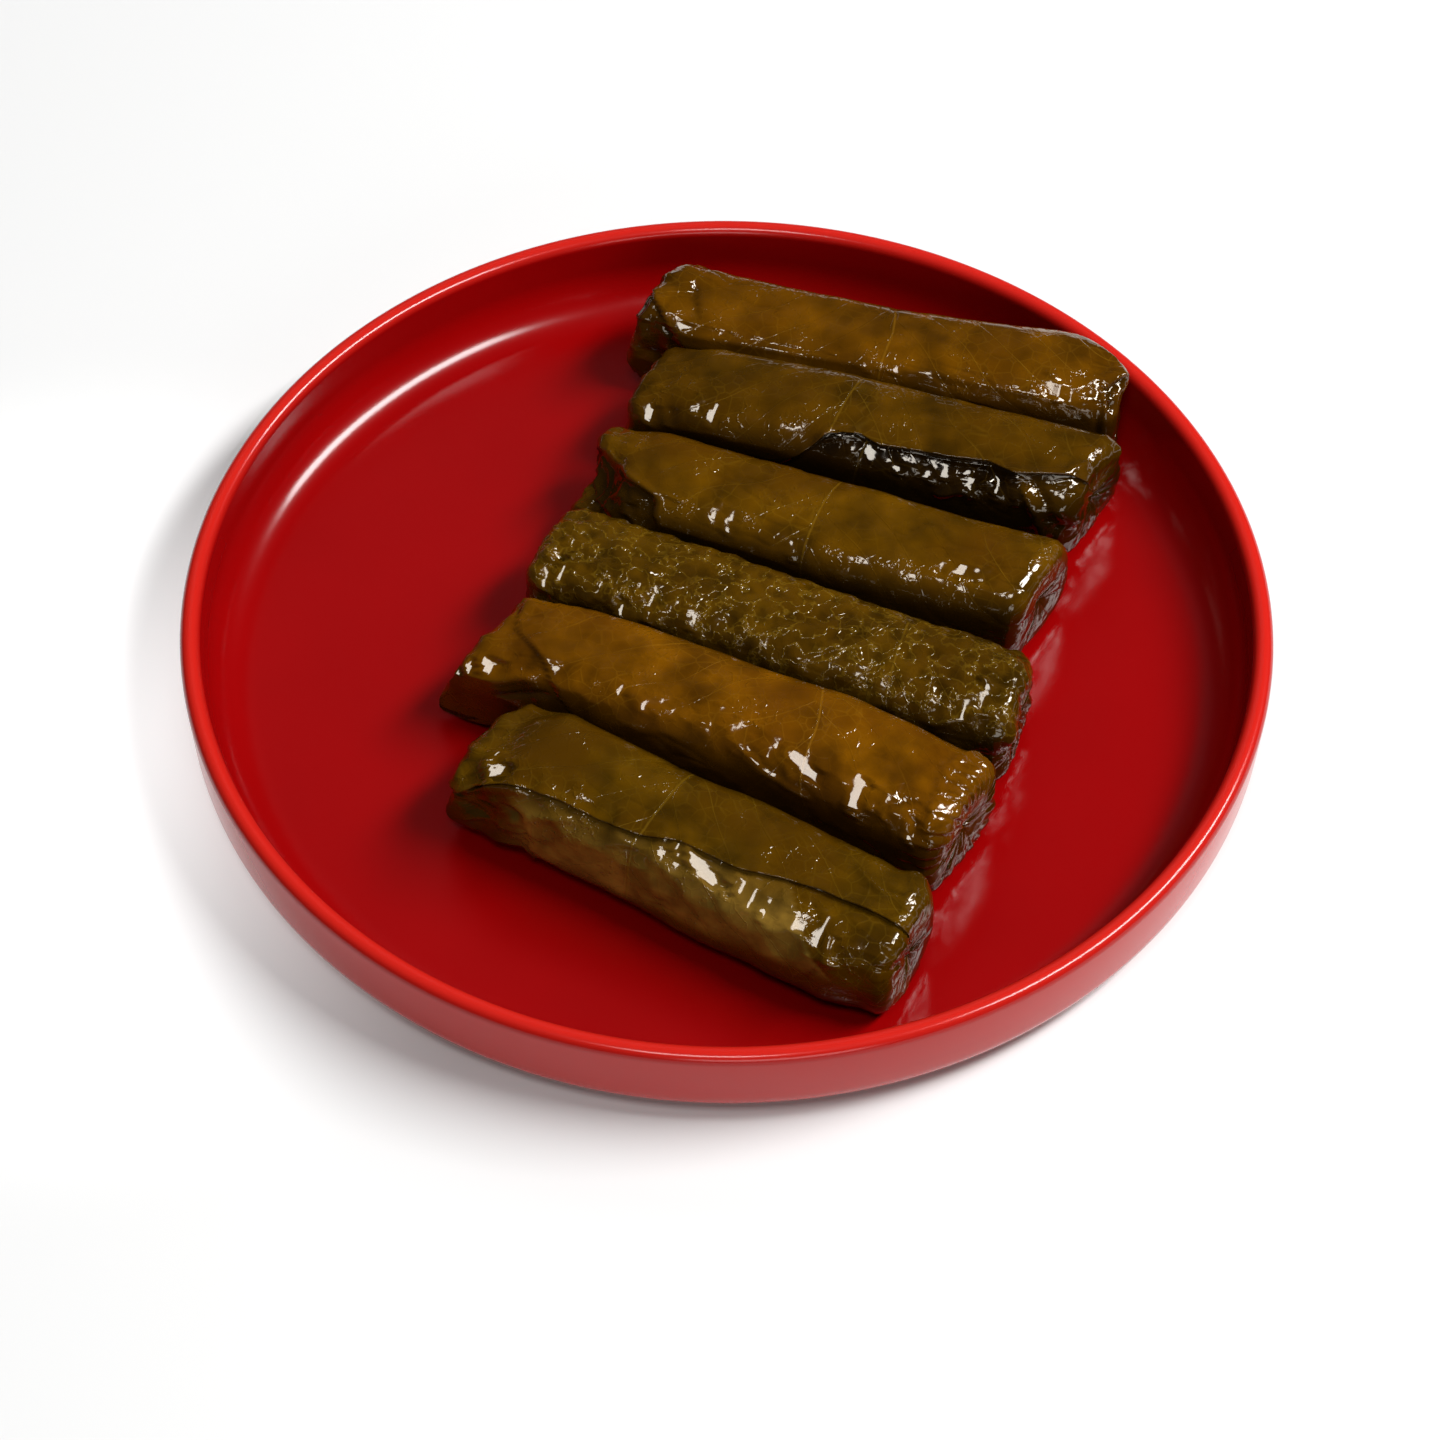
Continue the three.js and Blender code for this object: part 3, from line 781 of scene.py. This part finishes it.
def make_roll(index):
    """Shapes a copy of the blank into one roll and lays it on the plate."""
    roll = ROLLS[index]
    piece = blank.copy()
    piece.data = blank.data.copy()
    piece.name = f"stuffed_leaf_{index + 1}"
    bpy.context.scene.collection.objects.link(piece)
    blank_points = np.empty(len(piece.data.vertices) * 3)
    piece.data.vertices.foreach_get("co", blank_points)
    points, fields = wrap_leaf(roll, index + 1, blank_points.reshape(-1, 3))
    for side in (-1, 1):
        if 0 <= index + side < len(ROLLS):
            beside = ROLLS[index + side]
            press(points, roll["left"], roll["right"], (beside["left"], beside["right"]), side)
    points[:, 2] = np.maximum(points[:, 2], FLOOR_TOP + CONTACT_GAP)
    reach = np.hypot(points[:, 0], points[:, 1])
    points[:, :2] *= np.minimum(inside_of_plate(points[:, 2]) / reach, 1)[:, None]
    piece.data.vertices.foreach_set("co", (points * MM).ravel())
    for name, values in fields.items():
        layer = piece.data.attributes.new(name, "FLOAT", "POINT")
        layer.data.foreach_set("value", values.astype(np.float32))
    piece.data.update()

    bpy.ops.object.select_all(action="DESELECT")
    piece.select_set(True)
    bpy.context.view_layer.objects.active = piece
    bpy.ops.object.mode_set(mode="EDIT")
    bpy.ops.mesh.select_all(action="SELECT")
    bpy.ops.mesh.normals_make_consistent(inside=False)
    bpy.ops.object.mode_set(mode="OBJECT")
    bpy.ops.object.shade_smooth()
    colours = [roll[tone] for tone in ("light", "dark", "brown", "lower")]
    beading = 0.5 + 2 * roll["blister"]
    piece.data.materials.append(leaf_material(f"leaf_{index + 1}", beading, *colours))
    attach(piece, "root")
    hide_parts(f"roll_{index + 1}")
    return piece


ROLLS = [
    {
        "slot": "leaf_brown_olive",
        "left": (-14.4, 77.4),
        "right": (75.9, 54.9),
        "bow": -1.3,
        "skew": (0.33, 0),
        "widths": (20.4, 20.9, 20.9, 21.5, 22.2, 20),
        "heights": (21.5, 19.8, 19.7, 20.6, 21.6, 19.6),
        "margin": [(0, 226), (93, 224)],
        "waver": 3,
        "step": (0.8, 0.8, 0.8, 0.8, 0.8, 0.8),
        "lower_span": (-20, 200),
        "shaded": 1,
        "pleats": ((7, 0.9, 0.3), (4, 0.4, 0.2)),
        "pulls": [((75, 55, 22), (1, -0.5, 1.4), 6)],
        "crumple": (0.7, 0.12),
        "faces": (3, 3.2),
        "pinch": 0.1,
        "blister": 0,
        "folds": [
            ("ridge", 0.3, 0.7, [(10, 140), (21, 136), (47, 133), (59, 130), (74, 135), (82, 137)]),
            ("beads", 0.3, 0.35, [(9, 128), (20, 126), (45, 128), (59, 126), (74, 130), (82, 133)]),
            ("beads", 0.25, 0.35, [(60.6, 64), (64, 95), (68.8, 128)]),
            ("groove", 0.6, 0.5, [(8.3, 88), (9.6, 104), (11.6, 121)]),
            ("hollow", 0.9, 5, [(1, 108), (3, 118), (7.3, 136), (10, 150)]),
            ("ridge", 0.5, 0.6, [(81, 137), (83.4, 131), (86.8, 113), (90, 97)]),
            ("groove", 0.9, 0.5, [(88.3, 110), (89.5, 133), (89.9, 165)]),
            ("hollow", 1, 1.6, [(91, 132), (89.2, 116), (92, 98)]),
        ],
        "facets": [
            (0.9, 0.3, 3, 132),
            (0.5, 0.3, 7.5, 134),
            (1.8, 0.5, 79.6, 126),
            (1, 0.4, 82, 128),
            (1.2, 0.6, 84, 131),
            (0.6, 0.6, 50.3, 132),
            (0.6, 0.5, 45, 132),
            (0.6, 0.4, 56.8, 131),
            (0.7, 0.5, 17.3, 128),
        ],
        "midrib": (47, 0.06),
        "light": (0.094, 0.034, 0.0001),
        "dark": (0.054, 0.020, 0.0001),
        "brown": (0.070, 0.024, 0.0001),
        "lower": (0.066, 0.025, 0.0005),
    },
    {
        "slot": "leaf_olive",
        "left": (-16.4, 55),
        "right": (69.6, 31),
        "bow": -0.4,
        "skew": (0.16, 0.26),
        "widths": (20.2, 21.6, 22.1, 22.1, 22, 21.4),
        "heights": (19.4, 21.6, 22.3, 21.6, 21, 20.4),
        "margin": [
            (0, 168),
            (31, 166),
            (36, 143),
            (39, 127),
            (42, 123),
            (45, 121),
            (49, 126),
            (54, 124),
            (63, 122),
            (70, 118),
            (76, 124),
            (82, 118),
            (89, 110),
        ],
        "waver": 1,
        "step": (0.8, 0.9, 1.8, 2.4, 1.8, 1.2),
        "lower_span": (-20, 75.6),
        "shaded": 1,
        "pleats": ((5, 0.5, 0.3), (5, 0.6, -0.3)),
        "pulls": [((73, 36, 20), (1.6, 0.8, 0.6), 6)],
        "crumple": (0.6, 0.6),
        "faces": (3.2, 3.4),
        "pinch": 0.25,
        "blister": 0,
        "folds": [
            ("ridge", 0.8, 0.9, [(75, 121), (81, 118), (85, 112), (87, 95)]),
            ("ridge", 0.8, 0.7, [(62, 162), (65.5, 153), (70.6, 136), (75.6, 126)]),
            ("ridge", 0.9, 0.9, [(77, 128), (81, 150), (84.6, 180)]),
            ("groove", 0.8, 0.5, [(80, 128), (84, 145), (87, 170)]),
            ("ridge", 0.9, 1.1, [(38.5, 128), (41, 125), (44, 124)]),
        ],
        "facets": [
            (1.4, 0.9, 5.2, 139),
            (1.6, 0.5, 9.5, 141),
            (1.8, 0.7, 17.1, 127),
            (1.2, 0.4, 14, 124),
            (1.6, 0.6, 40.4, 125),
            (1.2, 0.6, 35.5, 140),
            (0.9, 0.5, 43.7, 133),
            (1, 0.9, 47.7, 135),
            (0.9, 0.4, 50.2, 134),
            (0.7, 0.8, 53, 141),
            (1.2, 0.5, 60, 136),
            (1.2, 0.5, 62.2, 137),
            (0.8, 1, 59, 143),
            (2, 0.5, 68, 146),
            (1.6, 0.6, 73, 140),
            (1.6, 0.6, 77.5, 139),
        ],
        "midrib": (40, -0.1),
        "light": (0.064, 0.026, 0.0001),
        "dark": (0.036, 0.0155, 0.0001),
        "brown": (0.050, 0.019, 0.0001),
        # Painted shadow: the under layer in the recess below the flap is near black.
        "lower": (0.016, 0.0065, 0.0002),
    },
    {
        "slot": "leaf_brown_olive",
        "left": (-26, 35.5),
        "right": (58.9, 5.8),
        "bow": -1,
        "skew": (0.06, 0.2),
        "widths": (19.4, 22.2, 22.3, 22.6, 22.5, 22),
        "heights": (18.8, 21.2, 20.3, 20.5, 20, 20.2),
        "margin": [(0, 222), (90, 224)],
        "waver": 3,
        "step": (0.8, 0.8, 0.8, 0.8, 0.8, 0.8),
        "lower_span": (-20, 200),
        "shaded": 1,
        "pleats": ((5, 1, 0.3), (4, 0.2, 0.2)),
        "pulls": [((-27, 29, 23), (3.5, 1, -4.5), 12)],
        "crumple": (0.9, 0.15),
        "faces": (3.4, 3.4),
        "pinch": 0.08,
        "blister": 0,
        "folds": [
            ("hollow", 1.2, 7, [(1, 84), (2.5, 92), (9.6, 119), (16.4, 129), (17.5, 150)]),
            ("ridge", 0.5, 0.6, [(2.5, 89), (9.6, 116), (16.4, 127)]),
            ("beads", 0.3, 0.4, [(2.5, 87), (9.6, 114), (16.4, 124), (24, 126)]),
            ("groove", 0.6, 0.5, [(4, 150), (8, 165), (9, 190)]),
            ("ridge", 0.22, 0.25, [(82.8, 95), (82.4, 112), (81, 130)]),
            ("ridge", 0.22, 0.25, [(84, 85), (84, 108), (82.6, 132), (82, 150)]),
            ("ridge", 0.22, 0.25, [(85.2, 75), (85.6, 104), (84.2, 134), (83.6, 160)]),
            ("ridge", 0.22, 0.25, [(86.6, 80), (87.2, 104), (86, 134), (85.4, 160)]),
        ],
        "facets": [
            (2, 0.5, 3.5, 120),
            (1.2, 0.5, 4, 140),
            (1.4, 0.4, 7, 150),
            (1.2, 0.6, 9.5, 131),
            (1, 0.4, 12, 150),
            (1.8, 0.6, 31.2, 129),
            (1.6, 0.4, 28.4, 122),
            (1, 0.4, 72, 118),
            (1.1, 0.5, 74.8, 117),
            (1, 0.5, 76.6, 116),
            (1, 0.5, 78.4, 116),
            (1.2, 0.4, 80.4, 115),
            (0.6, 0.4, 46, 131),
            (0.9, 0.6, 44, 138),
        ],
        "midrib": (46.5, 0.02),
        "light": (0.082, 0.034, 0.0001),
        "dark": (0.048, 0.0205, 0.0001),
        "brown": (0.063, 0.023, 0.0001),
        "lower": (0.054, 0.021, 0.0005),
    },
    {
        "slot": "leaf_green_olive",
        "left": (-33.1, 14.3),
        "right": (52.8, -21.8),
        "bow": -0.1,
        "skew": (0.06, -0.08),
        "widths": (21, 20.8, 21, 21.8, 22.2, 20),
        "heights": (18.6, 19.6, 19.2, 19, 19.2, 19.6),
        "margin": [(0, 224), (93, 225)],
        "waver": 3,
        "step": (0.8, 0.8, 0.8, 0.8, 0.8, 0.8),
        "lower_span": (-20, 200),
        "shaded": 1,
        "pleats": ((4, 0.3, 0.3), (4, 0.4, 0.2)),
        "pulls": [((52, -29, 20), (1.2, -0.8, -1.6), 8)],
        "crumple": (0.7, 0.5),
        "faces": (3.2, 3.4),
        "pinch": 0.5,
        "blister": 0.4,
        "folds": [
            ("ridge", 0.4, 0.3, [(24.5, 90), (22, 106)]),
            ("ridge", 0.35, 0.3, [(21, 98), (23, 112), (21, 124)]),
            ("ridge", 0.3, 0.3, [(10, 84), (13, 104)]),
            ("ridge", 0.6, 0.7, [(80, 150), (84.5, 138), (89, 128)]),
            ("groove", 0.5, 0.5, [(78, 110), (80.5, 125), (81, 150)]),
            ("groove", 0.5, 0.4, [(14, 100), (16, 118), (20, 140)]),
        ],
        "facets": [
            (1.5, 0.8, 25.2, 137),
            (0.9, 0.7, 19.3, 143),
            (2, 0.4, 24, 118),
            (1.6, 0.4, 21.4, 112),
            (1.2, 0.5, 29, 122),
            (1.4, 0.4, 32.6, 130),
            (1, 0.5, 12.4, 124),
            (1.4, 0.4, 15, 134),
            (1.9, 0.9, 87.2, 113),
            (1.5, 0.8, 85, 131),
            (2, 0.8, 6.9, 120),
            (1.4, 0.7, 4.2, 138),
            (1.8, 0.6, 4.6, 104),
        ],
        "midrib": (70, 0.1),
        "light": (0.07, 0.031, 0.0004),
        "dark": (0.036, 0.016, 0.0003),
        "brown": (0.054, 0.022, 0.0003),
        "lower": (0.054, 0.023, 0.0008),
    },
    {
        "slot": "leaf_amber",
        "left": (-42.5, -6.6),
        "right": (43, -46.8),
        "bow": 1.4,
        "skew": (0.17, 0.12),
        "widths": (22, 22.4, 23, 23.6, 23.6, 23.2),
        "heights": (19, 20.8, 21.8, 22, 21.6, 20.6),
        "margin": [(0, 222), (95, 224)],
        "waver": 3,
        "step": (0.9, 0.9, 0.9, 0.9, 0.9, 0.9),
        "lower_span": (-20, 200),
        "shaded": 1,
        "pleats": ((5, 0.6, 0.3), (22, 0.45, 0.25)),
        "pulls": [
            ((-44, -11, 15), (-4, -1.5, -3), 13),
            ((-48, -13.5, 8), (-5.5, -1.2, -2), 9),
        ],
        "crumple": (0.8, 0.3),
        "faces": (3.8, 3.8),
        "pinch": 0.9,
        "blister": 0,
        "folds": [
            ("edge", 0.6, 5, [(2, 60), (4, 80), (5.3, 92), (9, 105), (14.2, 120), (20, 150)]),
            ("ridge", 0.7, 0.8, [(89.9, 42), (88.1, 79), (90.3, 109), (91.3, 130)]),
            ("groove", 0.6, 0.5, [(80, 150), (84, 128), (88, 118)]),
            ("ridge", 0.5, 0.7, [(50, 118), (53, 132), (60, 146), (68, 152)]),
            ("ridge", 0.9, 0.9, [(-3, 172), (2, 160), (7, 150), (13, 140)]),
            ("groove", 0.9, 0.7, [(-2, 186), (4, 174), (11, 160), (16, 150)]),
            ("ridge", 0.8, 0.8, [(0, 205), (6, 188), (12, 178)]),
        ],
        "facets": [
            (0.7, 3.8, 66, 129),
            (2.4, 1.4, 77, 132),
            (1.4, 0.5, 80.6, 131),
            (1.2, 0.4, 83, 133),
            (1.7, 0.7, 59.6, 128),
            (0.8, 0.5, 55.4, 130),
            (1.2, 0.4, 51.6, 122),
            (2.4, 0.5, 47.2, 122),
            (1, 0.5, 40, 124),
            (0.9, 0.5, 37, 125),
            (1, 0.5, 34.7, 127),
            (1, 0.6, 29.4, 124),
            (0.8, 0.5, 17, 126),
            (1.1, 1.6, 5.2, 135),
            (1.2, 0.8, 2, 142),
            (1, 0.8, 0.5, 152),
            (1.8, 0.8, 89, 142),
        ],
        "midrib": (64, 0.3),
        "light": (0.124, 0.044, 0.0001),
        "dark": (0.073, 0.0255, 0.0001),
        "brown": (0.090, 0.028, 0.0001),
        "lower": (0.08, 0.026, 0.0005),
    },
    {
        "slot": "leaf_dark_olive",
        "left": (-43.1, -31.1),
        "right": (32.4, -74.4),
        "bow": -0.1,
        "skew": (0.11, -0.04),
        "widths": (22.6, 23.2, 23.4, 24.2, 24.6, 20.8),
        "heights": (17.6, 21.4, 20.8, 20.1, 20, 20.8),
        "margin": [
            (0, 156),
            (3.2, 152),
            (6.5, 140),
            (14, 132),
            (21.5, 128),
            (29.4, 128),
            (37, 125),
            (44, 115),
            (55.7, 113),
            (64, 104),
            (70, 99),
            (77, 98),
            (87, 104),
        ],
        "waver": 1,
        "step": (1.3, 0.8, 0.7, 0.8, 0.7, 0.7),
        "lower_span": (10, 68),
        "shaded": 40,
        "pleats": ((5, 0.6, 0.3), (4, 0.3, 0.2)),
        "pulls": [
            ((-46, -39, 10), (-2.2, -1.2, 0.6), 8),
            ((33, -64, 21), (0.6, 1, 1.8), 6),
        ],
        "crumple": (0.8, 0.2),
        "faces": (4.2, 4),
        "pinch": 0.9,
        "blister": 0,
        "folds": [
            ("tuck", 0.3, 7, [(1, 158), (3.2, 154), (7, 145), (12, 142), (15.8, 162), (17, 190)]),
            ("beads", 0.3, 0.4, [(5.4, 86), (6.5, 100), (8.2, 115)]),
            ("ridge", 0.5, 0.5, [(73, 66), (79, 78), (83, 76), (84.5, 62), (82, 45)]),
            ("groove", 0.5, 0.4, [(80, 70), (82.4, 68), (82.6, 58)]),
            ("ridge", 0.8, 1, [(3.5, 150), (8, 139), (14, 134)]),
            ("groove", 0.9, 0.6, [(4, 170), (9, 180), (11.4, 152), (15.8, 160), (17, 185)]),
            ("ridge", 0.6, 0.8, [(9, 200), (13, 175), (19, 150), (24, 138)]),
            ("groove", 0.5, 0.5, [(70, 112), (74, 130), (75, 160), (72, 190)]),
        ],
        "facets": [
            (0.8, 4.4, 49.8, 126),
            (0.7, 0.9, 44, 120),
            (1, 1, 57.4, 126),
            (1.6, 0.8, 60.2, 130),
            (1.6, 0.7, 62.8, 133),
            (0.9, 0.4, 66.4, 131),
            (1.2, 0.4, 68.6, 130),
            (1.2, 0.4, 70.6, 129),
            (3, 0.5, 73.4, 128),
            (1.6, 0.5, 76.4, 142),
            (1.1, 2.4, 8, 124),
            (0.8, 0.5, 6.4, 112),
            (0.7, 0.6, 5, 146),
        ],
        "midrib": (37, 0),
        "light": (0.068, 0.030, 0.0001),
        "dark": (0.036, 0.0165, 0.0001),
        "brown": (0.050, 0.0195, 0.0001),
        # The under layer on the front face: partly the leaf's own brown, partly painted light on the
        # front.
        "lower": (0.18, 0.1, 0.014),
    },
]

blank = leaf_roll_blank()
for roll_index in range(len(ROLLS)):
    make_roll(roll_index)
bpy.data.objects.remove(blank)
